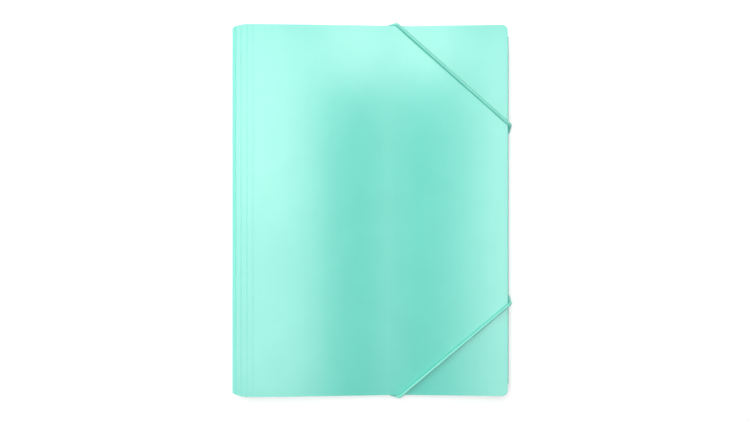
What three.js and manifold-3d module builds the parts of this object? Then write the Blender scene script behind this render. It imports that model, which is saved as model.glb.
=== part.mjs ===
import * as THREE from 'three';
import { mergeVertices } from 'three/addons/utils/BufferGeometryUtils.js';
import Module from 'manifold-3d';

// Overall sizes of the closed folder, in millimetres
const FOLDER_HEIGHT = 320;
const SPINE_X = -119;
const COVER_EDGE_X = 118.8;
const FLAP_BULGE = 1;
const SHEET = 0.5;
const CORNER_RADIUS = 5;
const CORNER_STEPS = 5;

// Spine: three strips between four creases that each turn a quarter of the half turn
const STRIP_PITCH = 5.15;
const CREASE_TURN = Math.PI / 4;
const CREASE_GAP = 0.5;
const FIRST_SCORE = 4.2;
const SCORE_COUNT = 3;
const SCORE_WIDTH = 0.8;
const SCORE_DEPTH = 0.15;
const SPINE_RELIEF = 2.2;
const RELIEF_REACH = 9;
const RELIEF_STEP = 3;
const STRIP_STEP = 2;

// Height of the cover's upper face across the folder, from the spine to the fore edge
const COVER_HEIGHTS = [
  [-94, 12.85], [-77, 12.3], [-60, 11.6], [-42, 10.8], [-25, 9.95], [-8, 9.1], [9.5, 8.2],
  [22, 7.65], [35.5, 7.5], [50, 7.95], [70, 8.75], [87, 9.5], [105, 10.3], [COVER_EDGE_X, 10.7],
];
const COVER_STEP = 6;

// Elastic cords: how far from the corner each one crosses the fore edge and the end edge
const CORD_RADIUS = 1.25;
const CORD_SIDES = 8;
const CORD_GAP = 0.3;
const ARC_STEPS = 4;
const HULL_STEP = 3;
const WALL_SLOPE_SHARE = 0.7;
const CORDS = [
  { name: 'upper_elastic', side: 1, foreReach: 84.8, endReach: 94.2 },
  { name: 'lower_elastic', side: -1, foreReach: 78.2, endReach: 91.5 },
];
const HOLE_INSET = 15;
const HOLE_SIDES = 16;
const HOLE_DROP = 1;

// Metal clips at the ends of the cords
const CLIP_LENGTH = 11;
const CLIP_WIDTH = 4;
const CLIP_THICK = 1.8;
const CLIP_BEVEL = 0.6;
const CLIP_ROOF = 0.5;
const SEAT_GAP = 0.3;

// Back panel: it lies flat near the spine and rides on the cords towards the fore edge
const RAMP_START = -30;
const RAMP_END = 0;
const RAMP_STEPS = 6;
const BACK_CORNER_CUT = 10;

// Inner flaps: the end flaps start beside the spine and the corner cuts, and dip under the side flap
const FLAP_GAP = 0.35;
const SIDE_FLAP = { depth: 95.8, taper: 12, corner: 12 };
const END_FLAP = {
  spineInset: 24, foreInset: 1.8, spineTaper: 10, foreTaper: 8, depth: 88, corner: 12,
};
const END_FLAP_RISE = 0.85;
const DIP = { lead: 2, length: 16 };
const FLAP_STEP = 8;

// Looks
const SHEET_COLOUR = 0xa3f0e2;
const CORD_COLOUR = 0xa0efdc;
const CLIP_COLOUR = 0xc9ccd0;

// Sizes that follow from the ones above
const HALF_HEIGHT = FOLDER_HEIGHT / 2;
const HALF_SHEET = SHEET / 2;
const WALL_X = COVER_EDGE_X + FLAP_BULGE;
const SLANT = STRIP_PITCH * Math.cos(CREASE_TURN);
const STRIP_X = SPINE_X + HALF_SHEET;
const CREASE_X = STRIP_X + SLANT;
const BACK_MID = HALF_SHEET;
const CREASES = [
  [CREASE_X, BACK_MID],
  [STRIP_X, BACK_MID + SLANT],
  [STRIP_X, BACK_MID + SLANT + STRIP_PITCH],
  [CREASE_X, BACK_MID + SLANT * 2 + STRIP_PITCH],
];
const COVER_TOP = CREASES[3][1] + HALF_SHEET;
const CORD_LIFT = CORD_RADIUS + CORD_GAP;
const BACK_LIFT = CORD_RADIUS * 2 + CORD_GAP;
const HOLE_RADIUS = CORD_RADIUS + CORD_GAP;
const OUTER_X = WALL_X + CORD_GAP + CORD_RADIUS * 2;
const CENTRE_X = (SPINE_X + OUTER_X) / 2;
const CUT_REACH = 2 * Math.max(COVER_TOP, ...COVER_HEIGHTS.map(([, z]) => z));
const SIDE_FLAP_X = WALL_X - SIDE_FLAP.depth;
const SIDE_FOLD_Y = HALF_HEIGHT - BACK_CORNER_CUT;
const SIDE_FREE_Y = SIDE_FOLD_Y - SIDE_FLAP.taper;
const END_FOLD_LOW = SPINE_X + END_FLAP.spineInset;
const END_FOLD_HIGH = WALL_X - BACK_CORNER_CUT - END_FLAP.foreInset;
const END_FREE_LOW = END_FOLD_LOW + END_FLAP.spineTaper;
const END_FREE_HIGH = END_FOLD_HIGH - END_FLAP.foreTaper;
const END_FREE_Y = HALF_HEIGHT - END_FLAP.depth;
const SCORES =Array.from({ length: SCORE_COUNT }, (_, i) => CREASE_X + FIRST_SCORE + i * STRIP_PITCH);

const wasm = await Module();
wasm.setup();

function smooth(t) {
  const u = Math.min(1, Math.max(0, t));
  return u * u * (3 - 2 * u);
}

// Smooth curve through points given as pairs, level at its start
function curveHeight(points, x) {
  const last = points.length - 1;
  if (x <= points[0][0]) return points[0][1];
  if (x >= points[last][0]) return points[last][1];
  let i = 0;
  while (x > points[i + 1][0]) i += 1;
  const slope = (k) => {
    if (k === 0) return 0;
    const low = points[Math.max(0, k - 1)];
    const high = points[Math.min(last, k + 1)];
    return (high[1] - low[1]) / (high[0] - low[0]);
  };
  const [x0, z0] = points[i];
  const [x1, z1] = points[i + 1];
  const w = x1 - x0;
  const t = (x - x0) / w;
  const t2 = t * t;
  const t3 = t2 * t;
  return (2 * t3 - 3 * t2 + 1) * z0 + (t3 - 2 * t2 + t) * w * slope(i)
    + (3 * t2 - 2 * t3) * z1 + (t3 - t2) * w * slope(i + 1);
}

const coverCurve = [[CREASE_X, COVER_TOP], ...COVER_HEIGHTS];
const coverTop = (x) => curveHeight(coverCurve, x);
const backLow = (x) => BACK_LIFT * smooth((x - RAMP_START) / (RAMP_END - RAMP_START));

// Middle height of the side flap, which lies just under the cover
const sideFlapMid = (x) => coverTop(x) - SHEET - FLAP_GAP - HALF_SHEET;

// Middle height of the end flaps, between the back panel and whatever lies over them
function endFlapMid(x) {
  const floor = backLow(x) + SHEET + SEAT_GAP + HALF_SHEET;
  const from = SIDE_FLAP_X - DIP.lead - DIP.length;
  const under = (SHEET + SEAT_GAP) * smooth((x - from) / DIP.length);
  const ceiling = coverTop(x) - SHEET - FLAP_GAP - HALF_SHEET - under;
  return floor + END_FLAP_RISE * (ceiling - floor);
}

function toManifold(geometry) {
  const g = geometry.clone();
  g.deleteAttribute('normal');
  g.deleteAttribute('uv');
  const merged = mergeVertices(g, 1e-5);
  return new wasm.Manifold(new wasm.Mesh({
    numProp: 3,
    vertProperties: new Float32Array(merged.attributes.position.array),
    triVerts: new Uint32Array(merged.index.array),
  }));
}

function toGeometry(solid) {
  const mesh = solid.getMesh();
  const geometry = new THREE.BufferGeometry();
  geometry.setAttribute('position', new THREE.BufferAttribute(new Float32Array(mesh.vertProperties), 3));
  geometry.setIndex(new THREE.BufferAttribute(new Uint32Array(mesh.triVerts), 1));
  const flat = geometry.toNonIndexed();
  flat.computeVertexNormals();
  return flat;
}

const shapeOf = (points) => new THREE.Shape(points.map(([a, b]) => new THREE.Vector2(a, b)));
const prismOf = (points, depth) => new THREE.ExtrudeGeometry(shapeOf(points), {
  depth, bevelEnabled: false,
});

// Solid with an outline in X and Y
function standing(points, low, high) {
  return toManifold(prismOf(points, high - low).translate(0, 0, low));
}

// Solid with an outline in X and Z
function lying(points, low, high) {
  return toManifold(prismOf(points, high - low).rotateX(Math.PI / 2).translate(0, high, 0));
}

function stations(low, high, step) {
  const n = Math.ceil((high - low) / step);
  return Array.from({ length: n + 1 }, (_, i) => low + ((high - low) * i) / n);
}

// Outline in X and Z of a sheet, with shallow score lines on its upper or lower face
function sheetOutline(xs, low, high, scores, scoredTop) {
  const grooved = (face, sign) => {
    const clear = xs.filter((x) => scores.every((s) => Math.abs(x - s) > SCORE_WIDTH));
    const points = clear.map((x) => [x, face(x)]);
    for (const s of scores) {
      for (const [k, d] of [[-0.5, 0], [-0.25, 1], [0.25, 1], [0.5, 0]]) {
        const x = s + k * SCORE_WIDTH;
        points.push([x, face(x) + sign * d * SCORE_DEPTH]);
      }
    }
    return points.sort((a, b) => a[0] - b[0]);
  };
  const plain = (face) => xs.map((x) => [x, face(x)]);
  const lower = scoredTop ? plain(low) : grooved(low, 1);
  const upper = scoredTop ? grooved(high, -1) : plain(high);
  return [...lower, ...upper.reverse()];
}

function arc(cx, cy, radius, from, to, steps) {
  return Array.from({ length: steps + 1 }, (_, i) => {
    const a = from + ((to - from) * i) / steps;
    return [cx + radius * Math.cos(a), cy + radius * Math.sin(a)];
  });
}

// Outline with each corner rounded by its own radius, given as [x, y, radius]
function roundedOutline(corners, steps) {
  const out = [];
  const n = corners.length;
  corners.forEach(([x, y, r], i) => {
    if (!r) {
      out.push([x, y]);
      return;
    }
    const here = new THREE.Vector2(x, y);
    const before = corners[(i + n - 1) % n];
    const after = corners[(i + 1) % n];
    const a = new THREE.Vector2(before[0], before[1]).sub(here).normalize();
    const b = new THREE.Vector2(after[0], after[1]).sub(here).normalize();
    const half = a.angleTo(b) / 2;
    const reach = r / Math.tan(half);
    const centre = here.clone().addScaledVector(a.clone().add(b).normalize(), r / Math.sin(half));
    const start = here.clone().addScaledVector(a, reach).sub(centre);
    const end = here.clone().addScaledVector(b, reach).sub(centre);
    const from = start.angle();
    let turn = end.angle() - from;
    if (turn > Math.PI) turn -= 2 * Math.PI;
    if (turn < -Math.PI) turn += 2 * Math.PI;
    out.push(...arc(centre.x, centre.y, r, from, from + turn, steps));
  });
  return out;
}

// How far the sheet's end is cut back near the spine
const relief = (x) => SPINE_RELIEF * smooth((CREASE_X + RELIEF_REACH - x) / (RELIEF_REACH + SLANT));

// Plan of a panel from its crease to the fore edge
function panelPlan(foreX, foreCorner) {
  const start = CREASE_X + CREASE_GAP / 2;
  const easing = stations(start, CREASE_X + RELIEF_REACH, RELIEF_STEP)
    .map((x) => [x, HALF_HEIGHT - relief(x)]);
  const fore = roundedOutline([[0, HALF_HEIGHT, 0], ...foreCorner, [foreX, 0, 0]], CORNER_STEPS);
  const upper = [...easing, ...fore.slice(1, -1)];
  const lower = upper.map(([x, y]) => [x, -y]).reverse();
  return [...lower, ...upper];
}

function frontCover() {
  const xs = stations(CREASE_X + CREASE_GAP / 2, COVER_EDGE_X, COVER_STEP);
  const outline = sheetOutline(xs, (x) => coverTop(x) - SHEET, coverTop, SCORES, true);
  const plan = panelPlan(COVER_EDGE_X, [[COVER_EDGE_X, HALF_HEIGHT, CORNER_RADIUS]]);
  return lying(outline, -HALF_HEIGHT, HALF_HEIGHT).intersect(standing(plan, -CUT_REACH, CUT_REACH));
}

// One strip of the spine between two creases
function strip(from, to) {
  const a = new THREE.Vector2(...from);
  const b = new THREE.Vector2(...to);
  const along = b.clone().sub(a).normalize();
  const across = new THREE.Vector2(-along.y, along.x).multiplyScalar(HALF_SHEET);
  const start = a.clone().addScaledVector(along, CREASE_GAP / 2);
  const end = b.clone().addScaledVector(along, -CREASE_GAP / 2);
  const corners = [
    start.clone().sub(across), end.clone().sub(across), end.clone().add(across), start.clone().add(across),
  ];
  const points = corners.map((p) => [p.x, p.y]);
  const reachAt = (x) => HALF_HEIGHT - relief(x);
  const xs = stations(SPINE_X, CREASE_X + HALF_SHEET, STRIP_STEP);
  const upper = xs.map((x) => [x, reachAt(x)]);
  const plan = [...upper.map(([x, y]) => [x, -y]), ...upper.reverse()];
  return lying(points, -HALF_HEIGHT, HALF_HEIGHT).intersect(standing(plan, -CUT_REACH, CUT_REACH));
}

// Points of a cord that hugs corners in a flat section, turning round each at one distance
function aroundCorners(corners, startAngle, endAngle) {
  const angles = [startAngle];
  for (let i = 1; i < corners.length; i += 1) {
    const [x0, z0] = corners[i - 1];
    const [x1, z1] = corners[i];
    angles.push(Math.atan2(z1 - z0, x1 - x0));
  }
  angles.push(endAngle);
  const quarter = Math.PI / 2;
  return corners.flatMap(([x, z], i) => {
    const steps = Math.max(1, Math.round((ARC_STEPS * (angles[i + 1] - angles[i])) / quarter));
    return arc(x, z, CORD_LIFT, angles[i] - quarter, angles[i + 1] - quarter, steps);
  });
}

// Upper hull of points sorted by x
function upperHull(points) {
  const hull = [];
  for (const p of points) {
    while (hull.length > 1) {
      const [a, b] = hull.slice(-2);
      const cross = (b[0] - a[0]) * (p[1] - a[1]) - (b[1] - a[1]) * (p[0] - a[0]);
      if (cross < 0) break;
      hull.pop();
    }
    hull.push(p);
  }
  return hull;
}

// Path of one cord from the clip near the fore edge over the cover to the clip near the end edge
function cordPath({ foreReach, endReach }) {
  const foreY = HALF_HEIGHT - foreReach;
  const endX = COVER_EDGE_X - endReach;
  const low = BACK_LIFT;
  const wallTop = sideFlapMid(COVER_EDGE_X) + HALF_SHEET;
  const edgeTop = coverTop(COVER_EDGE_X);
  const over = upperHull(stations(endX, COVER_EDGE_X, HULL_STEP).map((x) => [x, coverTop(x) + CORD_LIFT]));
  const arrival = Math.atan2(over.at(-2)[1] - over.at(-1)[1], over.at(-2)[0] - over.at(-1)[0]);
  const endAngle = arrival < 0 ? arrival + 2 * Math.PI : arrival;
  const wrap = aroundCorners([[WALL_X, low], [WALL_X, wallTop], [COVER_EDGE_X, edgeTop]], 0, endAngle);
  const crossing = wrap.length - 1;
  const section = [[WALL_X - HOLE_INSET, low - CORD_LIFT], ...wrap, ...over.slice(0, -1).reverse()];
  const run = [0];
  for (let i = 1; i < section.length; i += 1) {
    run.push(run[i - 1] + Math.hypot(section[i][0] - section[i - 1][0], section[i][1] - section[i - 1][1]));
  }
  const rise = (HALF_HEIGHT - foreY) / (run.at(-1) - run[crossing + 1]);
  const first = section.map(([x, z], i) => {
    const past = run[i] - run[crossing + 1];
    return new THREE.Vector3(x, foreY + rise * past * (past < 0 ? WALL_SLOPE_SHARE : 1), z);
  });
  const topZ = coverTop(endX);
  const endWrap = [
    ...arc(HALF_HEIGHT, topZ, CORD_LIFT, Math.PI / 2, 0, ARC_STEPS),
    ...arc(HALF_HEIGHT, low, CORD_LIFT, 0, -Math.PI / 2, ARC_STEPS),
    [HALF_HEIGHT - HOLE_INSET, low - CORD_LIFT],
  ];
  const second = [];
  let length = 0;
  endWrap.forEach(([y, z], i) => {
    if (i) length += Math.hypot(y - endWrap[i - 1][0], z - endWrap[i - 1][1]);
    second.push(new THREE.Vector3(endX - length / rise, y, z));
  });
  const whole = [...first.slice(0, -1), ...second];
  const start = intoHole(whole[1], whole[0]);
  const end = intoHole(whole.at(-2), whole.at(-1));
  return {
    points: [...start.points.reverse(), ...whole, ...end.points],
    holes: [start, end],
  };
}

// Turn from level to upright round the rim of a hole, and on to the clip's socket
function intoHole(before, here) {
  const way = here.clone().sub(before).setZ(0).normalize();
  const points = arc(0, 0, CORD_LIFT, -Math.PI / 2, 0, ARC_STEPS).slice(1).map(([a, z]) => (
    here.clone().addScaledVector(way, a).setZ(here.z + CORD_LIFT + z)
  ));
  const centre = points.at(-1).clone();
  const base = BACK_LIFT + SHEET + SEAT_GAP;
  points.push(centre.clone().setZ(base + CLIP_THICK - CLIP_ROOF - SEAT_GAP));
  return { points, centre, way, base };
}

class PointPath extends THREE.Curve {
  constructor(points) {
    super();
    this.points = points;
  }

  getPoint(t, target = new THREE.Vector3()) {
    const n = this.points.length - 1;
    const i = Math.min(n - 1, Math.floor(t * n + 1e-9));
    return target.lerpVectors(this.points[i], this.points[i + 1], t * n - i);
  }

  getPointAt(u, target) {
    return this.getPoint(u, target);
  }

  getTangentAt(u, target = new THREE.Vector3()) {
    const n = this.points.length - 1;
    const i = Math.round(u * n);
    const before = this.points[Math.max(0, i - 1)];
    const here = this.points[i];
    const after = this.points[Math.min(n, i + 1)];
    const arriving = here.clone().sub(before).normalize();
    const leaving = after.clone().sub(here).normalize();
    return target.copy(arriving.add(leaving)).normalize();
  }
}

function cord(points) {
  const sides = Array.from({ length: CORD_SIDES }, (_, i) => {
    const a = (2 * Math.PI * (i + 0.5)) / CORD_SIDES;
    return [CORD_RADIUS * Math.cos(a), CORD_RADIUS * Math.sin(a)];
  });
  return toManifold(new THREE.ExtrudeGeometry(shapeOf(sides), {
    steps: points.length - 1, extrudePath: new PointPath(points),
  }));
}

// Crimped metal bar across the end of a cord, with a socket for the cord underneath
function clip({ centre, way, base }) {
  const w = CLIP_WIDTH / 2;
  const section = [
    [-w, 0], [w, 0], [w, CLIP_THICK - CLIP_BEVEL], [w - CLIP_BEVEL, CLIP_THICK],
    [-w + CLIP_BEVEL, CLIP_THICK], [-w, CLIP_THICK - CLIP_BEVEL],
  ];
  const bar = lying(section, -CLIP_LENGTH / 2, CLIP_LENGTH / 2);
  const hole = arc(0, 0, HOLE_RADIUS, 0, 2 * Math.PI, HOLE_SIDES).slice(0, -1);
  const socket = standing(hole, -HOLE_DROP, CLIP_THICK - CLIP_ROOF);
  const turn = (Math.atan2(way.y, way.x) * 180) / Math.PI;
  return bar.subtract(socket).rotate([0, 0, turn]).translate([centre.x, centre.y, base]);
}

const mirrorY = (p, side) => new THREE.Vector3(p.x, p.y * side, p.z);

// Back panel, its three inner flaps and their narrow walls, folded from one sheet
function backPanel(holes) {
  const ramp = stations(RAMP_START, RAMP_END, (RAMP_END - RAMP_START) / RAMP_STEPS);
  const xs = [CREASE_X + CREASE_GAP / 2, ...ramp, WALL_X];
  const outline = sheetOutline(xs, backLow, (x) => backLow(x) + SHEET, SCORES, false);
  const cut = BACK_CORNER_CUT;
  const plan = panelPlan(WALL_X, [
    [WALL_X - cut, HALF_HEIGHT, CORNER_RADIUS], [WALL_X, HALF_HEIGHT - cut, CORNER_RADIUS],
  ]);
  let solid = lying(outline, -HALF_HEIGHT, HALF_HEIGHT).intersect(standing(plan, -CUT_REACH, CUT_REACH));

  // Side flap with its wall at the fore edge
  const sideXs = stations(SIDE_FLAP_X, WALL_X, FLAP_STEP);
  const sideSheet = sheetOutline(
    sideXs, (x) => sideFlapMid(x) - HALF_SHEET, (x) => sideFlapMid(x) + HALF_SHEET, [], true,
  );
  const sidePlan = roundedOutline([
    [SIDE_FLAP_X, -SIDE_FREE_Y, SIDE_FLAP.corner], [WALL_X, -SIDE_FOLD_Y, 0],
    [WALL_X, SIDE_FOLD_Y, 0], [SIDE_FLAP_X, SIDE_FREE_Y, SIDE_FLAP.corner],
  ], CORNER_STEPS);
  const backMid = backLow(WALL_X) + HALF_SHEET;
  const wallPlan = [
    [WALL_X - SHEET, -SIDE_FOLD_Y], [WALL_X, -SIDE_FOLD_Y],
    [WALL_X, SIDE_FOLD_Y], [WALL_X - SHEET, SIDE_FOLD_Y],
  ];
  const sideFlap = lying(sideSheet, -SIDE_FOLD_Y, SIDE_FOLD_Y)
    .intersect(standing(sidePlan, -CUT_REACH, CUT_REACH));
  solid = solid.add(standing(wallPlan, backMid, sideFlapMid(WALL_X))).add(sideFlap);

  // End flaps with their walls at the two ends
  const endXs = [...new Set([...stations(END_FOLD_LOW, RAMP_START, FLAP_STEP), ...ramp,
    ...stations(RAMP_END, END_FOLD_HIGH, FLAP_STEP)])];
  const endSheet = sheetOutline(
    endXs, (x) => endFlapMid(x) - HALF_SHEET, (x) => endFlapMid(x) + HALF_SHEET, [], true,
  );
  const endPlan = roundedOutline([
    [END_FREE_LOW, END_FREE_Y, END_FLAP.corner], [END_FREE_HIGH, END_FREE_Y, END_FLAP.corner],
    [END_FOLD_HIGH, HALF_HEIGHT, 0], [END_FOLD_LOW, HALF_HEIGHT, 0],
  ], CORNER_STEPS);
  const wallSection = sheetOutline(endXs, (x) => backLow(x) + HALF_SHEET, endFlapMid, [], true);
  const endFlap = lying(endSheet, END_FREE_Y, HALF_HEIGHT)
    .intersect(standing(endPlan, -CUT_REACH, CUT_REACH));
  const endFold = endFlap.add(lying(wallSection, HALF_HEIGHT - SHEET, HALF_HEIGHT));
  solid = solid.add(endFold).add(endFold.mirror([0, 1, 0]));

  for (const { x, y } of holes) {
    const rim = arc(x, y, HOLE_RADIUS, 0, 2 * Math.PI, HOLE_SIDES).slice(0, -1);
    solid = solid.subtract(standing(rim, -HOLE_DROP, BACK_LIFT + SHEET + SEAT_GAP / 2));
  }
  return solid;
}

const sheetMaterial = () => new THREE.MeshStandardMaterial({
  color: SHEET_COLOUR, roughness: 0.4, metalness: 0,
});
const cordMaterial = () => new THREE.MeshStandardMaterial({
  color: CORD_COLOUR, roughness: 0.8, metalness: 0,
});
const clipMaterial = () => new THREE.MeshStandardMaterial({
  color: CLIP_COLOUR, roughness: 0.35, metalness: 1,
});

const folder = new THREE.Group();
folder.name = 'elastic_folder';

function addPiece(name, solid, material) {
  const geometry = toGeometry(solid);
  geometry.translate(-CENTRE_X, 0, 0);
  const mesh = new THREE.Mesh(geometry, material);
  mesh.name = name;
  folder.add(mesh);
}

const holes = [];
for (const spec of CORDS) {
  const { points, holes: ends } = cordPath(spec);
  const placed = points.map((p) => mirrorY(p, spec.side));
  addPiece(spec.name, cord(placed), cordMaterial());
  ends.forEach((end, i) => {
    const seat = {
      centre: mirrorY(end.centre, spec.side), way: mirrorY(end.way, spec.side), base: end.base,
    };
    holes.push(seat.centre);
    const where = i === 0 ? 'fore' : 'end';
    addPiece(`${spec.name.replace('_elastic', '')}_${where}_clip`, clip(seat), clipMaterial());
  });
}
addPiece('back_panel', backPanel(holes), sheetMaterial());
addPiece('gusset_lower', strip(CREASES[0], CREASES[1]), sheetMaterial());
addPiece('gusset_middle', strip(CREASES[1], CREASES[2]), sheetMaterial());
addPiece('gusset_upper', strip(CREASES[2], CREASES[3]), sheetMaterial());
addPiece('front_cover', frontCover(), sheetMaterial());

export default folder;
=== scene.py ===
import math

import bmesh
import bpy
import numpy as np
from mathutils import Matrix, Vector


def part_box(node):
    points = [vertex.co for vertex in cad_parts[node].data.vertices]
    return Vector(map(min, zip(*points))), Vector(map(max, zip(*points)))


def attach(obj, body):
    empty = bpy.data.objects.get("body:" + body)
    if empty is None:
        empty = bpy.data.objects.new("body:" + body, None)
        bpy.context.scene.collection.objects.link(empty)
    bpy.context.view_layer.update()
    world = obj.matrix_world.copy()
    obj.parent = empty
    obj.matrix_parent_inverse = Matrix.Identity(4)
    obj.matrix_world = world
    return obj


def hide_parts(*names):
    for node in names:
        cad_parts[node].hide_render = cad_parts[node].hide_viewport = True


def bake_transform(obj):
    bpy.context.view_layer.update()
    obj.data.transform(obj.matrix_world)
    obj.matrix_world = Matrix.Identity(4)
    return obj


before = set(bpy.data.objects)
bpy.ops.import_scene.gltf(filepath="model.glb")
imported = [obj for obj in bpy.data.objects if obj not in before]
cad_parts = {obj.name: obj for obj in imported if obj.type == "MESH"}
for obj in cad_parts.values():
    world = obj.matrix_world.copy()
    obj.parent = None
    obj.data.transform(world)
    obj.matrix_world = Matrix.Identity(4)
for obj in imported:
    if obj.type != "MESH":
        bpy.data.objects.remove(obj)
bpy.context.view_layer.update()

# Sizes of the closed folder, in millimetres, with X from the spine to the fore edge
HALF_HEIGHT = 160.0
SPINE_X = -119.0
COVER_EDGE_X = 118.8
FLAP_BULGE = 1.0
WALL_X = COVER_EDGE_X + FLAP_BULGE
SHEET = 0.5
HALF_SHEET = SHEET / 2
CORNER_RADIUS = 5.0
STRIP_PITCH = 5.15
SLANT = STRIP_PITCH * math.cos(math.pi / 4)
STRIP_X = SPINE_X + HALF_SHEET
CREASE_X = STRIP_X + SLANT
CREASES = [
    (CREASE_X, HALF_SHEET),
    (STRIP_X, HALF_SHEET + SLANT),
    (STRIP_X, HALF_SHEET + SLANT + STRIP_PITCH),
    (CREASE_X, HALF_SHEET + SLANT * 2 + STRIP_PITCH),
]
COVER_TOP = CREASES[3][1] + HALF_SHEET
FIRST_SCORE = 4.2
SCORE_COUNT = 3
SCORES = [CREASE_X + FIRST_SCORE + STRIP_PITCH * i for i in range(SCORE_COUNT)]
SCORE_HALF = 0.7
SCORE_DEPTH = 0.05
SPINE_RELIEF = 2.2
RELIEF_REACH = 9.0
COVER_HEIGHTS = [
    (CREASE_X, COVER_TOP), (-94, 12.85), (-77, 12.3), (-60, 11.6), (-42, 10.8), (-25, 9.95),
    (-8, 9.1), (9.5, 8.2), (22, 7.65), (35.5, 7.5), (50, 7.95), (70, 8.75), (87, 9.5),
    (105, 10.3), (COVER_EDGE_X, 10.7),
]
FOLD_RADIUS = 0.9
CREASE_RADIUS = 1.1
EDGE_BEVEL = 0.1
BEVEL_ANGLE = math.radians(55)
SEAM_TOLERANCE = 0.02
SEAM_REACH = 1.0
FILLET_STEPS = 6
ROW_SHARES = [math.sin(math.pi / 2 * t) for t in np.linspace(-1, 1, 25)]
ROUND_STEPS = 8

CORD_RADIUS = 1.25
CORD_TOUCH = 0.04
CORD_LIFT = CORD_RADIUS + CORD_TOUCH
BACK_LIFT = CORD_RADIUS * 2 + CORD_TOUCH
BACK_LIFT_START = -30.0
BACK_LIFT_LENGTH = 30.0
WALL_SLOPE_SHARE = 0.7
BRAID_SIDES = 40
BRAID_STEP = 0.22
BRAID_STRANDS = 8
BRAID_LAY = 1.7
BRAID_DEPTH = 0.04
YARNS = 3
# Name, half of the folder, and distances from its end and its fore edge to the cord
CORDS = [("upper", 1, 84.8, 94.2), ("lower", -1, 78.2, 91.5)]
HOLE_INSET = 15.0
HOLE_RADIUS = 1.6
HOLE_CUT_DEPTH = 1.6
CLIP_LENGTH = 11.0
CLIP_WIDTH = 3.8
CLIP_THICK = 1.8
CLIP_GAP = 0.05
CORD_END_RISE = 0.6

SIDE_FLAP_INNER = 24.0
SIDE_FLAP_FOLD = 150.0
SIDE_FLAP_TAPER = 138.0
END_FLAP_LOW = -95.0
END_FLAP_HIGH = 108.0
END_FLAP_TAPER = 9.0
END_FLAP_INNER = HALF_HEIGHT - 88.0
FLAP_CORNER = 12.0
FLAP_GAP = 0.35
PILE_GAP = 0.3
OVERLAP_START = 6.0
OVERLAP_LENGTH = 16.0
END_FLAP_RISE = 0.85
PLATE_END_X = WALL_X - HALF_SHEET - FOLD_RADIUS
PLATE_END_Y = HALF_HEIGHT - HALF_SHEET - FOLD_RADIUS
PLATE_CORNER_POWER = 1.6

MM = 0.001
SHIFT = Vector((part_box("gusset_middle")[0].x / MM - SPINE_X, 0, 0))


def smooth(t):
    """Even ease from 0 to 1."""
    t = min(1.0, max(0.0, t))
    return t * t * (3 - 2 * t)


def cover_top(x):
    """Height of the cover's upper face, a smooth curve that starts level at the spine."""
    points = COVER_HEIGHTS
    last = len(points) - 1
    if x <= points[0][0]:
        return points[0][1]
    if x >= points[last][0]:
        return points[last][1]
    i = max(k for k in range(last) if points[k][0] <= x)

    def slope(k):
        if k == 0:
            return 0.0
        low, high = points[max(0, k - 1)], points[min(last, k + 1)]
        return (high[1] - low[1]) / (high[0] - low[0])

    (x0, z0), (x1, z1) = points[i], points[i + 1]
    w = x1 - x0
    t = (x - x0) / w
    return (
        (2 * t**3 - 3 * t**2 + 1) * z0
        + (t**3 - 2 * t**2 + t) * w * slope(i)
        + (3 * t**2 - 2 * t**3) * z1
        + (t**3 - t**2) * w * slope(i + 1)
    )


def score_dent(x):
    """Depth of the score lines beside the spine."""
    return sum(
        SCORE_DEPTH * 0.5 * (1 + math.cos(math.pi * (x - s) / SCORE_HALF))
        for s in SCORES
        if abs(x - s) < SCORE_HALF
    )


def cover_mid(x):
    return cover_top(x) - HALF_SHEET - score_dent(x)


def back_mid(x):
    lift = BACK_LIFT * smooth((x - BACK_LIFT_START) / BACK_LIFT_LENGTH)
    return lift + HALF_SHEET + score_dent(x)


def side_flap_mid(x):
    return cover_top(x) - SHEET - FLAP_GAP - HALF_SHEET


def end_flap_mid(x):
    """An end flap dips under the side flap where the two overlap."""
    lowest = back_mid(x) + SHEET + PILE_GAP
    under = (SHEET + PILE_GAP) * smooth((x - OVERLAP_START) / OVERLAP_LENGTH)
    highest = side_flap_mid(x) - under
    return lowest + END_FLAP_RISE * (highest - lowest)


def relief(x):
    """How far the sheet's ends are cut back near the spine."""
    return SPINE_RELIEF * smooth((CREASE_X + RELIEF_REACH - x) / (RELIEF_REACH + SLANT))


def arc(cx, cy, radius, start, end, steps):
    angles = np.linspace(start, end, steps + 1)
    return [(cx + radius * math.cos(a), cy + radius * math.sin(a)) for a in angles]


def fillet(before, corner, after, radius):
    """Points of the round that replaces a corner of a line in a plane."""
    a = (Vector(before) - Vector(corner)).normalized()
    b = (Vector(after) - Vector(corner)).normalized()
    half = a.angle(b) / 2
    centre = Vector(corner) + (a + b).normalized() * radius / math.sin(half)
    start = Vector(corner) + a * radius / math.tan(half) - centre
    end = Vector(corner) + b * radius / math.tan(half) - centre
    turn = start.angle_signed(end)
    angle = math.atan2(start.y, start.x)
    return arc(centre.x, centre.y, radius, angle, angle - turn, FILLET_STEPS)


def add_grid(bm, rows):
    """Joins rows of points into one sheet of quads."""
    made = [[bm.verts.new(p) for p in row] for row in rows]
    for one, two in zip(made, made[1:]):
        for k in range(len(one) - 1):
            bm.faces.new((one[k], two[k], two[k + 1], one[k + 1]))


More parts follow.
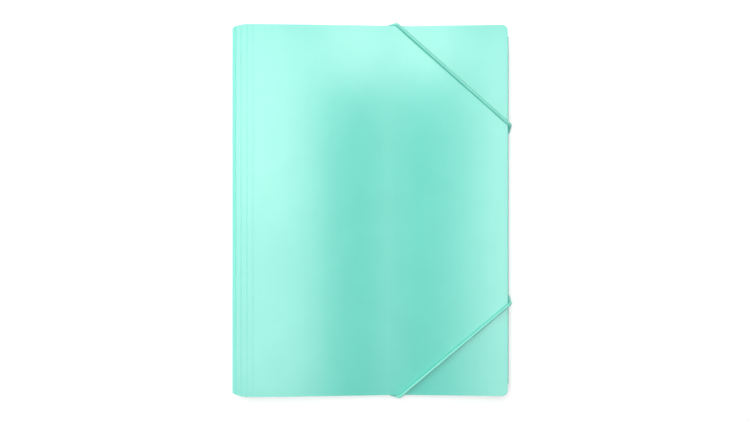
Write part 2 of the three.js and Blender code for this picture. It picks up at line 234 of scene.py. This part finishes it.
def thicken(bm):
    """Turns a sheet's middle surface into a closed thick sheet."""
    bmesh.ops.remove_doubles(bm, verts=bm.verts[:], dist=1e-4)
    bmesh.ops.recalc_face_normals(bm, faces=bm.faces[:])
    bm.normal_update()
    out = bmesh.new()
    upper, lower = {}, {}
    for v in bm.verts:
        upper[v] = out.verts.new(v.co + v.normal * HALF_SHEET)
        lower[v] = out.verts.new(v.co - v.normal * HALF_SHEET)
    for f in bm.faces:
        out.faces.new([upper[v] for v in f.verts])
        out.faces.new([lower[v] for v in reversed(f.verts)])
    for e in bm.edges:
        if e.is_boundary:
            loop = e.link_loops[0]
            a, b = loop.vert, loop.link_loop_next.vert
            out.faces.new((upper[b], upper[a], lower[a], lower[b]))
    bm.free()
    out.normal_update()
    return out


def finish_mesh(name, bm, smooth_shade=True):
    """Object in metres, in the row frame, from a mesh in millimetres."""
    for v in bm.verts:
        v.co = (v.co + SHIFT) * MM
    mesh = bpy.data.meshes.new(name)
    bm.to_mesh(mesh)
    bm.free()
    obj = bpy.data.objects.new(name, mesh)
    bpy.context.scene.collection.objects.link(obj)
    if smooth_shade:
        mesh.polygons.foreach_set("use_smooth", [True] * len(mesh.polygons))
    return obj


def freeze(obj):
    """Applies the object's modifiers to its mesh."""
    graph = bpy.context.evaluated_depsgraph_get()
    mesh = bpy.data.meshes.new_from_object(obj.evaluated_get(graph))
    old = obj.data
    obj.modifiers.clear()
    obj.data = mesh
    bpy.data.meshes.remove(old)
    obj.data.name = obj.name
    return obj


def soften_edges(obj):
    """Rounds the cut edges of the sheet a little."""
    bevel = obj.modifiers.new("edges", "BEVEL")
    bevel.width = EDGE_BEVEL * MM
    bevel.segments = 2
    bevel.limit_method = "ANGLE"
    bevel.angle_limit = BEVEL_ANGLE
    bevel.harden_normals = True
    return freeze(obj)


def drop_seam_faces(bm, seams):
    """Opens the ends where one piece of the sheet goes on in the next."""
    faces = [
        f for f in bm.faces
        if any(all(seam(v.co) for v in f.verts) for seam in seams)
    ]
    bmesh.ops.delete(bm, geom=faces, context="FACES")


def between(a, b, t=0.5):
    return (a[0] + (b[0] - a[0]) * t, a[1] + (b[1] - a[1]) * t)


def end_test(a, b):
    """Tells whether a point lies in the plane across the line from a to b at its middle."""
    middle = between(a, b)
    length = math.dist(a, b)
    nx, nz = (b[0] - a[0]) / length, (b[1] - a[1]) / length

    def at_end(p):
        x, z = p.x - middle[0], p.z - middle[1]
        return abs(x * nx + z * nz) < SEAM_TOLERANCE and math.hypot(x, z) < SEAM_REACH

    return at_end


def spine_half_height(x):
    return HALF_HEIGHT - relief(x)


def strip_rows(section, half_height):
    """Rows of points across the folder's height, one for each point of a section."""
    return [[(x, k * half_height(x), z) for k in ROW_SHARES] for x, z in section]


def crease_section(i):
    """The crease before crease i, crease i and the one after it; the plates end at x = 0."""
    corners = [(0, HALF_SHEET), *CREASES, (0, COVER_TOP - HALF_SHEET)]
    return corners[i:i + 3]


def stations():
    """Places across the cover, close together at the score lines and the fore corners."""
    xs = list(np.linspace(CREASE_X + 0.6, SCORES[0] - SCORE_HALF, 5))
    for s in SCORES:
        xs += list(s + SCORE_HALF * np.linspace(-1, 1, 9))
    xs += list(np.arange(SCORES[-1] + 2, COVER_EDGE_X - CORNER_RADIUS - 1.5, 2.5))
    return sorted(set(round(x, 4) for x in xs))


def cover_half_height(x):
    start = COVER_EDGE_X - CORNER_RADIUS
    if x <= start:
        return spine_half_height(x)
    inset = math.sqrt(max(0.0, CORNER_RADIUS**2 - (x - start) ** 2))
    return HALF_HEIGHT - CORNER_RADIUS + inset


def make_cover():
    before, corner, _ = crease_section(3)
    turn = fillet(before, corner, (corner[0] + 10, corner[1]), CREASE_RADIUS)
    quarter = np.linspace(0, math.pi / 2, ROUND_STEPS + 1)
    corner_xs = [COVER_EDGE_X - CORNER_RADIUS * (1 - math.sin(a)) for a in quarter]
    section = [between(before, corner), *turn]
    section += [(x, cover_mid(x)) for x in stations()]
    section += [(x, cover_mid(x)) for x in corner_xs]
    bm = bmesh.new()
    add_grid(bm, strip_rows(section, cover_half_height))
    bm = thicken(bm)
    drop_seam_faces(bm, [end_test(before, corner)])
    return soften_edges(finish_mesh("cover_sheet", bm))


def make_spine_strip(name, i):
    before, corner, after = crease_section(i)
    section = [between(before, corner), *fillet(before, corner, after, CREASE_RADIUS)]
    section.append(between(corner, after))
    bm = bmesh.new()
    add_grid(bm, strip_rows(section, spine_half_height))
    bm = thicken(bm)
    drop_seam_faces(bm, [end_test(before, corner), end_test(corner, after)])
    return soften_edges(finish_mesh(name, bm))


def back_half_height(x):
    """Half height of the back panel, a little less where the end flaps fold up."""
    if END_FLAP_LOW - 1e-6 <= x <= END_FLAP_HIGH + 1e-6:
        return PLATE_END_Y
    if x < END_FLAP_LOW:
        return spine_half_height(x)
    t = (x - END_FLAP_HIGH) / (PLATE_END_X - END_FLAP_HIGH)
    return PLATE_END_Y - (PLATE_END_Y - SIDE_FLAP_FOLD) * t**PLATE_CORNER_POWER


def fold_path(out, inner, steps):
    """Path of a flap up its wall and back over, as (reach, part, rise) with its parts in order.

    The rise of the foot counts from the plate and that of the head from the flap.
    """
    r = FOLD_RADIUS
    straight = inner + FLAP_CORNER
    path = [(reach, "foot", rise) for reach, rise in arc(out - r, r, r, -math.pi / 2, 0, 5)]
    path += [(reach, "head", rise) for reach, rise in arc(out - r, -r, r, 0, math.pi / 2, 5)]
    for t in np.linspace(0, 1, steps + 1)[1:]:
        path.append((out - r - (out - r - straight) * t, "flat", 0))
    for a in np.linspace(0, math.pi / 2, ROUND_STEPS)[1:]:
        path.append((inner + FLAP_CORNER * (1 - math.sin(a)), "flat", 0))
    return path


def corner_inset(distance):
    """How far a flap's rounded inner corner pulls in at this distance from its free edge."""
    if distance >= FLAP_CORNER:
        return 0.0
    d = FLAP_CORNER - distance
    return FLAP_CORNER - math.sqrt(max(0.0, FLAP_CORNER**2 - d**2))


def side_flap_rows():
    """Rows of the side flap, which narrows from its fold to its free edge."""
    fold = {"foot": back_mid(PLATE_END_X), "head": side_flap_mid(PLATE_END_X)}
    rows = []
    for x, part, rise in fold_path(WALL_X - HALF_SHEET, SIDE_FLAP_INNER, 24):
        t = min(1.0, max(0.0, (PLATE_END_X - x) / (PLATE_END_X - SIDE_FLAP_INNER)))
        half = SIDE_FLAP_FOLD + (SIDE_FLAP_TAPER - SIDE_FLAP_FOLD) * t
        half -= corner_inset(x - SIDE_FLAP_INNER)
        z = side_flap_mid(x) if part == "flat" else fold[part] + rise
        rows.append([(x, k * half, z) for k in ROW_SHARES])
    return rows


def end_flap_rows(side, xs):
    """Rows of an end flap, over the same places xs as the plate that it is folded from."""
    centre = (END_FLAP_LOW + END_FLAP_HIGH) / 2
    half_width = (END_FLAP_HIGH - END_FLAP_LOW) / 2
    rows = []
    for y, part, rise in fold_path(HALF_HEIGHT - HALF_SHEET, END_FLAP_INNER, 14):
        t = min(1.0, max(0.0, (PLATE_END_Y - y) / (PLATE_END_Y - END_FLAP_INNER)))
        half = half_width - END_FLAP_TAPER * t - corner_inset(y - END_FLAP_INNER)
        row = []
        for x in xs:
            place = centre + (x - centre) * half / half_width
            base = back_mid(place) if part == "foot" else end_flap_mid(place)
            row.append((place, side * y, base + rise))
        rows.append(row)
    return rows


def make_back(holes):
    after, corner, before = crease_section(0)
    turn = fillet(before, corner, after, CREASE_RADIUS)
    flap_xs = sorted(set(
        [END_FLAP_LOW, END_FLAP_HIGH]
        + [round(x, 4) for x in np.arange(END_FLAP_LOW + 3, END_FLAP_HIGH - 2, 3.5)]
    ))
    corner_xs = [END_FLAP_HIGH + (PLATE_END_X - END_FLAP_HIGH) * t for t in np.linspace(0, 1, 9)[1:]]
    spine_xs = [x for x in stations() if x < END_FLAP_LOW - 0.9] + [END_FLAP_LOW - 0.6]
    section = [between(before, corner), *turn]
    section += [(x, back_mid(x)) for x in [*spine_xs, *flap_xs, *corner_xs]]
    bm = bmesh.new()
    add_grid(bm, strip_rows(section, back_half_height))
    add_grid(bm, side_flap_rows())
    add_grid(bm, end_flap_rows(1, flap_xs))
    add_grid(bm, end_flap_rows(-1, flap_xs))
    bm = thicken(bm)
    obj = finish_mesh("back_sheet", bm)
    cutters = []
    for centre in holes:
        cut = bmesh.new()
        bmesh.ops.create_cone(
            cut, cap_ends=True, segments=32, radius1=HOLE_RADIUS, radius2=HOLE_RADIUS,
            depth=HOLE_CUT_DEPTH,
        )
        for v in cut.verts:
            v.co += Vector((centre[0], centre[1], BACK_LIFT + HALF_SHEET))
        cutters.append(finish_mesh("hole_cutter", cut, False))
        mod = obj.modifiers.new("hole", "BOOLEAN")
        mod.operation = "DIFFERENCE"
        mod.solver = "EXACT"
        mod.object = cutters[-1]
    freeze(obj)
    for cutter in cutters:
        bpy.data.objects.remove(cutter)
    opened = bmesh.new()
    opened.from_mesh(obj.data)
    test = end_test(before, corner)
    drop_seam_faces(opened, [lambda p: test(p / MM - SHIFT)])
    opened.to_mesh(obj.data)
    opened.free()
    return soften_edges(obj)


def around_corners(corners, start_angle, end_angle, lift):
    """Line that hugs corners in a flat section at one distance."""
    step = math.pi / 16
    angles = [start_angle]
    for (x0, z0), (x1, z1) in zip(corners, corners[1:]):
        angles.append(math.atan2(z1 - z0, x1 - x0))
    angles.append(end_angle)
    points = []
    for k, (x, z) in enumerate(corners):
        a, b = angles[k] - math.pi / 2, angles[k + 1] - math.pi / 2
        points += arc(x, z, lift, a, b, max(1, round((b - a) / step)))
    return points


def upper_hull(points):
    """The points that a line drawn tight over all of them touches."""
    hull = []
    for p in points:
        while len(hull) > 1:
            a, b = hull[-2:]
            if (b[0] - a[0]) * (p[1] - a[1]) - (b[1] - a[1]) * (p[0] - a[0]) < 0:
                break
            hull.pop()
        hull.append(p)
    return hull


def cord_path(fore_y, end_x):
    """Centre line of a cord from its fore clip, over the cover, to its end clip, for the upper half."""
    lift, low = CORD_LIFT, BACK_LIFT
    wall_top = side_flap_mid(COVER_EDGE_X) + HALF_SHEET
    n = int((COVER_EDGE_X - end_x) / 2)
    over = upper_hull([(x, cover_top(x) + lift) for x in np.linspace(end_x, COVER_EDGE_X, n)])
    arrival = math.atan2(over[-2][1] - over[-1][1], over[-2][0] - over[-1][0])
    arrival += 2 * math.pi if arrival < 0 else 0
    wrap = around_corners(
        [(WALL_X, low), (WALL_X, wall_top), (COVER_EDGE_X, cover_top(COVER_EDGE_X))], 0, arrival, lift,
    )
    section = [(WALL_X - HOLE_INSET, low - lift), *wrap, *reversed(over[:-1])]
    run = np.concatenate([[0], np.cumsum([math.dist(a, b) for a, b in zip(section, section[1:])])])
    start = run[len(wrap)]
    rise = (HALF_HEIGHT - fore_y) / (run[-1] - start)
    first = []
    for (x, z), s in zip(section, run):
        past = s - start
        share = WALL_SLOPE_SHARE if past < 0 else 1
        first.append(Vector((x, fore_y + rise * past * share, z)))
    top = cover_top(end_x)
    end_section = arc(HALF_HEIGHT, top, lift, math.pi / 2, 0, 8)
    end_section += arc(HALF_HEIGHT, low, lift, 0, -math.pi / 2, 8)
    end_section.append((HALF_HEIGHT - HOLE_INSET, low - lift))
    second, length = [], 0.0
    for k, (y, z) in enumerate(end_section):
        if k:
            length += math.dist(end_section[k - 1], (y, z))
        second.append(Vector((end_x - length / rise, y, z)))
    whole = first[:-1] + second
    start_turn = into_hole(whole[1], whole[0])
    end_turn = into_hole(whole[-2], whole[-1])
    points = list(reversed(start_turn[0])) + whole + end_turn[0]
    return points, [start_turn[1:], end_turn[1:]]


def into_hole(before, here):
    """Turn of a cord's end up through its hole, with the place and way of its clip."""
    way = here - before
    way.z = 0
    way.normalize()
    points = [
        Vector((here.x + way.x * a, here.y + way.y * a, here.z + CORD_LIFT + z))
        for a, z in arc(0, 0, CORD_LIFT, -math.pi / 2, 0, 8)[1:]
    ]
    centre = points[-1].copy()
    base = BACK_LIFT + SHEET + CLIP_GAP
    points.append(Vector((centre.x, centre.y, base + CORD_END_RISE)))
    return points, centre, way, base


def resample(points, step):
    """Points at even steps along a line, with its corners eased."""
    run = np.concatenate([[0], np.cumsum([(b - a).length for a, b in zip(points, points[1:])])])
    n = int(run[-1] / step)
    at = np.linspace(0, run[-1], n + 1)
    co = np.array([list(p) for p in points])
    line = np.stack([np.interp(at, run, co[:, k]) for k in range(3)], axis=1)
    for _ in range(2):
        line[1:-1] = 0.25 * line[:-2] + 0.5 * line[1:-1] + 0.25 * line[2:]
    return line, at


def make_cord(name, points, side):
    """Braided round cord: two families of ridges cross along it."""
    line, at = resample([Vector((p.x, p.y * side, p.z)) for p in points], BRAID_STEP)
    tangent = np.gradient(line, axis=0)
    tangent /= np.linalg.norm(tangent, axis=1)[:, None]
    normal = np.cross(tangent[0], [0, 0, 1.0]) if abs(tangent[0][2]) < 0.9 else np.array([1.0, 0, 0])
    bm = bmesh.new()
    uv = bm.loops.layers.uv.new("along")
    rings, frames = [], []
    for p, t in zip(line, tangent):
        normal = normal - t * (normal @ t)
        normal /= np.linalg.norm(normal)
        frames.append((normal.copy(), np.cross(t, normal)))
    for p, (n, b), s in zip(line, frames, at):
        ring = []
        for k in range(BRAID_SIDES):
            a = 2 * math.pi * k / BRAID_SIDES
            one = math.cos(BRAID_STRANDS * a + 2 * math.pi * s / BRAID_LAY)
            two = math.cos(BRAID_STRANDS * a - 2 * math.pi * s / BRAID_LAY)
            r = CORD_RADIUS * (1 - BRAID_DEPTH + BRAID_DEPTH * max(one, two))
            ring.append(bm.verts.new(p + r * (n * math.cos(a) + b * math.sin(a))))
        rings.append(ring)
    for i in range(len(rings) - 1):
        for k in range(BRAID_SIDES):
            m = (k + 1) % BRAID_SIDES
            f = bm.faces.new((rings[i][k], rings[i][m], rings[i + 1][m], rings[i + 1][k]))
            corners = [(i, k), (i, k + 1), (i + 1, k + 1), (i + 1, k)]
            for loop, (row, col) in zip(f.loops, corners):
                loop[uv].uv = (at[row] / BRAID_LAY, col / BRAID_SIDES)
    bm.faces.new(list(reversed(rings[0])))
    bm.faces.new(rings[-1])
    bmesh.ops.recalc_face_normals(bm, faces=bm.faces[:])
    return finish_mesh(name, bm)


def make_clip(name, centre, way, base, side):
    """Metal bar crimped round a cord's end: a rounded body, pinched in the middle."""
    bm = bmesh.new()
    n, around = 28, 20
    rings = []
    for i in range(n + 1):
        t = i / n * 2 - 1
        pinch = 1 - 0.16 * math.exp(-((t / 0.22) ** 2)) - 0.5 * max(0.0, abs(t) - 0.93) / 0.07
        ring = []
        for k in range(around):
            a = 2 * math.pi * k / around
            c, s = math.cos(a), math.sin(a)
            wide = CLIP_WIDTH / 2 * math.copysign(abs(c) ** 0.6, c) * pinch
            high = CLIP_THICK / 2 * math.copysign(abs(s) ** 0.6, s) * pinch
            ring.append(bm.verts.new((wide, t * CLIP_LENGTH / 2, high + CLIP_THICK / 2)))
        rings.append(ring)
    for one, two in zip(rings, rings[1:]):
        for k in range(around):
            m = (k + 1) % around
            bm.faces.new((one[k], one[m], two[m], two[k]))
    bm.faces.new(list(reversed(rings[0])))
    bm.faces.new(rings[-1])
    bmesh.ops.recalc_face_normals(bm, faces=bm.faces[:])
    turn = math.atan2(way.y * side, way.x)
    c, s = math.cos(turn), math.sin(turn)
    for v in bm.verts:
        x, y, z = v.co
        v.co = (centre.x + c * x - s * y, centre.y * side + s * x + c * y, base + z)
    return finish_mesh(name, bm)


def new_material(name):
    mat = bpy.data.materials.new(name)
    mat.use_nodes = True
    nodes, links = mat.node_tree.nodes, mat.node_tree.links
    return mat, nodes, links, nodes["Principled BSDF"]


def new_noise(nodes, scale, detail):
    noise = nodes.new("ShaderNodeTexNoise")
    noise.inputs["Scale"].default_value = scale
    noise.inputs["Detail"].default_value = detail
    return noise


def colour_by(nodes, links, value, shader, stops):
    """Base colour that runs between two stops, each a position and a colour."""
    ramp = nodes.new("ShaderNodeValToRGB")
    for element, (position, colour) in zip(ramp.color_ramp.elements, stops):
        element.position = position
        element.color = (*colour, 1)
    links.new(value, ramp.inputs["Fac"])
    links.new(ramp.outputs["Color"], shader.inputs["Base Color"])


def roughness_by(nodes, links, value, shader, low, high):
    rough = nodes.new("ShaderNodeMapRange")
    rough.inputs["To Min"].default_value = low
    rough.inputs["To Max"].default_value = high
    links.new(value, rough.inputs["Value"])
    links.new(rough.outputs["Result"], shader.inputs["Roughness"])


def bump_by(nodes, links, value, shader, strength, distance):
    bump = nodes.new("ShaderNodeBump")
    bump.inputs["Strength"].default_value = strength
    bump.inputs["Distance"].default_value = distance
    links.new(value, bump.inputs["Height"])
    links.new(bump.outputs["Normal"], shader.inputs["Normal"])


def sheet_material():
    """Satin moulded sheet with a fine grain, soft mottling and faint rub marks."""
    mat, nodes, links, shader = new_material("mint_sheet")
    where = nodes.new("ShaderNodeTexCoord")
    grain = new_noise(nodes, 2600, 3)
    mottle = new_noise(nodes, 34, 4)
    rub = new_noise(nodes, 1, 2)
    stretch = nodes.new("ShaderNodeMapping")
    stretch.inputs["Scale"].default_value = (900, 60, 900)
    for node in (grain, mottle, stretch):
        links.new(where.outputs["Object"], node.inputs["Vector"])
    links.new(stretch.outputs["Vector"], rub.inputs["Vector"])
    mints = [(0.35, (0.1, 0.626, 0.506)), (0.65, (0.108, 0.646, 0.525))]
    colour_by(nodes, links, mottle.outputs["Fac"], shader, mints)
    roughness_by(nodes, links, rub.outputs["Fac"], shader, 0.21, 0.24)
    shader.inputs["Specular IOR Level"].default_value = 1.0
    shader.inputs["IOR"].default_value = 1.6
    bump_by(nodes, links, grain.outputs["Fac"], shader, 0.12, 0.00004)
    return mat


def cord_material():
    """Braided textile: strands cross both ways, each of a few fine yarns. Its base colour follows the
    braid's height: painted shade in the grooves between strands and yarns, painted highlight on the
    ridge tops.
    """
    mat, nodes, links, shader = new_material("mint_braid")

    def number(operation, first, second=0.0, third=0.0):
        node = nodes.new("ShaderNodeMath")
        node.operation = operation
        for socket, value in zip(node.inputs, (first, second, third)):
            if isinstance(value, (int, float)):
                socket.default_value = value
            else:
                links.new(value, socket)
        return node.outputs["Value"]

    along = nodes.new("ShaderNodeUVMap")
    along.uv_map = "along"
    strands, yarns = [], []
    for way in (1, -1):
        phase = nodes.new("ShaderNodeVectorMath")
        phase.operation = "DOT_PRODUCT"
        phase.inputs[1].default_value = (way * 2 * math.pi, BRAID_STRANDS * 2 * math.pi, 0)
        links.new(along.outputs["UV"], phase.inputs[0])
        strands.append(number("COSINE", phase.outputs["Value"]))
        yarns.append(number("COSINE", number("MULTIPLY", phase.outputs["Value"], YARNS)))
    ridge = number("MAXIMUM", *strands)
    first_on_top = number("GREATER_THAN", *strands)
    yarn_step = number("SUBTRACT", *yarns)
    yarn = number("MULTIPLY_ADD", first_on_top, yarn_step, yarns[1])

    where = nodes.new("ShaderNodeTexCoord")
    fluff = new_noise(nodes, 3500, 2)
    links.new(where.outputs["Object"], fluff.inputs["Vector"])
    height = number("MULTIPLY_ADD", ridge, 0.3, number("MULTIPLY_ADD", yarn, 0.14, fluff.outputs["Fac"]))
    # Painted shade and highlight: the base colour is darker where the braid is low, in the grooves
    # between strands and yarns, and lighter on the ridge tops; the fine fluff noise in the height adds a
    # random tone.
    colour_by(nodes, links, height, shader, [(0.15, (0.09, 0.47, 0.37)), (0.95, (0.3, 0.83, 0.7))])
    shader.inputs["Roughness"].default_value = 0.6
    shader.inputs["Sheen Weight"].default_value = 0.03
    shader.inputs["Sheen Roughness"].default_value = 0.4
    bump_by(nodes, links, height, shader, 0.35, 0.00006)
    return mat


def clip_material():
    """Nickel-plated steel with small dents and uneven gloss."""
    mat, nodes, links, shader = new_material("plated_steel")
    where = nodes.new("ShaderNodeTexCoord")
    dents = new_noise(nodes, 900, 3)
    links.new(where.outputs["Object"], dents.inputs["Vector"])
    shader.inputs["Metallic"].default_value = 1.0
    greys = [(0.0, (0.5, 0.51, 0.53)), (1.0, (0.66, 0.67, 0.69))]
    colour_by(nodes, links, dents.outputs["Fac"], shader, greys)
    roughness_by(nodes, links, dents.outputs["Fac"], shader, 0.22, 0.42)
    bump_by(nodes, links, dents.outputs["Fac"], shader, 0.3, 0.00005)
    return mat


def dress(obj, material, slot, *nodes):
    obj.data.materials.clear()
    obj.data.materials.append(material)
    if nodes:
        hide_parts(*nodes)


def blend_at_crease(obj):
    """Bakes the object's placement into its mesh."""
    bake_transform(obj)


sheet = sheet_material()
braid = cord_material()
steel = clip_material()

holes = []
for cord_name, half, fore_reach, end_reach in CORDS:
    path, turns = cord_path(HALF_HEIGHT - fore_reach, COVER_EDGE_X - end_reach)
    cord = make_cord(cord_name + "_braid", path, half)
    dress(cord, braid, "cord", cord_name + "_elastic")
    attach(cord, "back")
    for where, (centre, way, base) in zip(("fore", "end"), turns):
        holes.append((centre.x, centre.y * half))
        clip = make_clip(f"{cord_name}_{where}_crimp", centre, way, base, half)
        dress(clip, steel, "clip", f"{cord_name}_{where}_clip")
        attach(clip, "back")

cover = make_cover()
dress(cover, sheet, "sheet", "front_cover", "gusset_upper")
blend_at_crease(cover)

upper_strip = make_spine_strip("spine_upper_sheet", 2)
dress(upper_strip, sheet, "sheet", "gusset_middle")
blend_at_crease(upper_strip)

lower_strip = make_spine_strip("spine_lower_sheet", 1)
dress(lower_strip, sheet, "sheet", "gusset_lower")
blend_at_crease(lower_strip)

back = make_back(holes)
dress(back, sheet, "sheet", "back_panel")
blend_at_crease(back)

# Floor and lamps, in metres
LAMP_HEIGHT = 0.75
FLOOR_REACH = 3.0
FLOOR_DROP = 0.0002
floor_mesh = bpy.data.meshes.new("floor")
floor_corners = [(FLOOR_REACH * x, FLOOR_REACH * y, 0) for x, y in ((-1, -1), (1, -1), (1, 1), (-1, 1))]
floor_mesh.from_pydata(floor_corners, [], [(0, 1, 2, 3)])
floor = bpy.data.objects.new("floor", floor_mesh)
floor.location.z = -FLOOR_DROP
bpy.context.scene.collection.objects.link(floor)
floor_mat, floor_nodes, floor_links, floor_shader = new_material("paper_floor")
floor_shader.inputs["Base Color"].default_value = (0.93, 0.93, 0.93, 1)
floor_shader.inputs["Roughness"].default_value = 0.9
floor_shader.inputs["Specular IOR Level"].default_value = 0.1
rays = floor_nodes.new("ShaderNodeLightPath")
seen = floor_nodes.new("ShaderNodeMath")
seen.operation = "ADD"
seen.use_clamp = True
floor_links.new(rays.outputs["Is Camera Ray"], seen.inputs[0])
floor_links.new(rays.outputs["Is Glossy Ray"], seen.inputs[1])
lift = floor_nodes.new("ShaderNodeMath")
lift.operation = "MULTIPLY"
lift.inputs[1].default_value = 0.25
floor_links.new(seen.outputs["Value"], lift.inputs[0])
floor_shader.inputs["Emission Color"].default_value = (1, 1, 1, 1)
floor_links.new(lift.outputs["Value"], floor_shader.inputs["Emission Strength"])
floor.data.materials.append(floor_mat)


def area_light(name, location, target, size, power):
    light = bpy.data.lights.new(name, "AREA")
    light.shape = "RECTANGLE"
    light.size, light.size_y = size
    light.energy = power
    obj = bpy.data.objects.new(name, light)
    obj.location = location
    aim = Vector(target) - Vector(location)
    obj.rotation_euler = aim.to_track_quat("-Z", "Y").to_euler()
    obj.visible_camera = False
    bpy.context.scene.collection.objects.link(obj)


def ceiling_box(name, low, high, radiance):
    """Level softbox over the table, between two corners of its outline."""
    size = (high[0] - low[0], high[1] - low[1])
    middle = between(low, high)
    power = math.pi * size[0] * size[1] * radiance
    area_light(name, (*middle, LAMP_HEIGHT), (*middle, 0), size, power)


ceiling_box("left_box", (-0.4, 0.0), (-0.1, 0.45), 3.5)
ceiling_box("left_low_box", (-0.4, -0.45), (-0.1, 0.0), 2.8)
ceiling_box("left_side_box", (-0.1, -0.45), (-0.03, 0.45), 2.2)
ceiling_box("right_side_box", (0.115, -0.5), (0.17, 0.45), 1.8)
ceiling_box("right_box", (0.17, -0.2), (0.35, 0.45), 3.2)
ceiling_box("right_low_box", (0.17, -0.5), (0.35, -0.2), 2.8)
ceiling_box("top_box", (-0.03, 0.28), (0.12, 0.5), 4.2)
area_light("key", (-0.34, 1.1, 0.74), (0, 0, 0), (1.4, 0.5), 8.5)
area_light("left_panel", (-0.95, 0.0, 0.2), (0, 0, 0.02), (1.2, 0.36), 4.0)

world = bpy.data.worlds.new("studio")
bpy.context.scene.world = world
world.use_nodes = True
world_nodes, world_links = world.node_tree.nodes, world.node_tree.links
sky = world_nodes["Background"]
sky.inputs["Color"].default_value = (1, 1, 1, 1)
world_rays = world_nodes.new("ShaderNodeLightPath")
white_or_dim = world_nodes.new("ShaderNodeMapRange")
white_or_dim.inputs["To Min"].default_value = 0.18
white_or_dim.inputs["To Max"].default_value = 1.0
world_links.new(world_rays.outputs["Is Camera Ray"], white_or_dim.inputs["Value"])
world_links.new(white_or_dim.outputs["Result"], sky.inputs["Strength"])

# Camera straight above the folder
CAMERA_X = 4.35
CAMERA_HEIGHT = 0.5
FOCAL_PIXELS = 568.0
FRAME_WIDTH_PIXELS = 750
SENSOR = 36.0
camera = bpy.data.cameras.new("camera")
camera.sensor_width = SENSOR
camera.lens = FOCAL_PIXELS * SENSOR / FRAME_WIDTH_PIXELS
camera.clip_start = 0.01
eye = bpy.data.objects.new("camera", camera)
eye.location = ((CAMERA_X + SHIFT.x) * MM, 0, CAMERA_HEIGHT)
bpy.context.scene.collection.objects.link(eye)
bpy.context.scene.camera = eye

scene = bpy.context.scene
scene.view_settings.view_transform = "Standard"
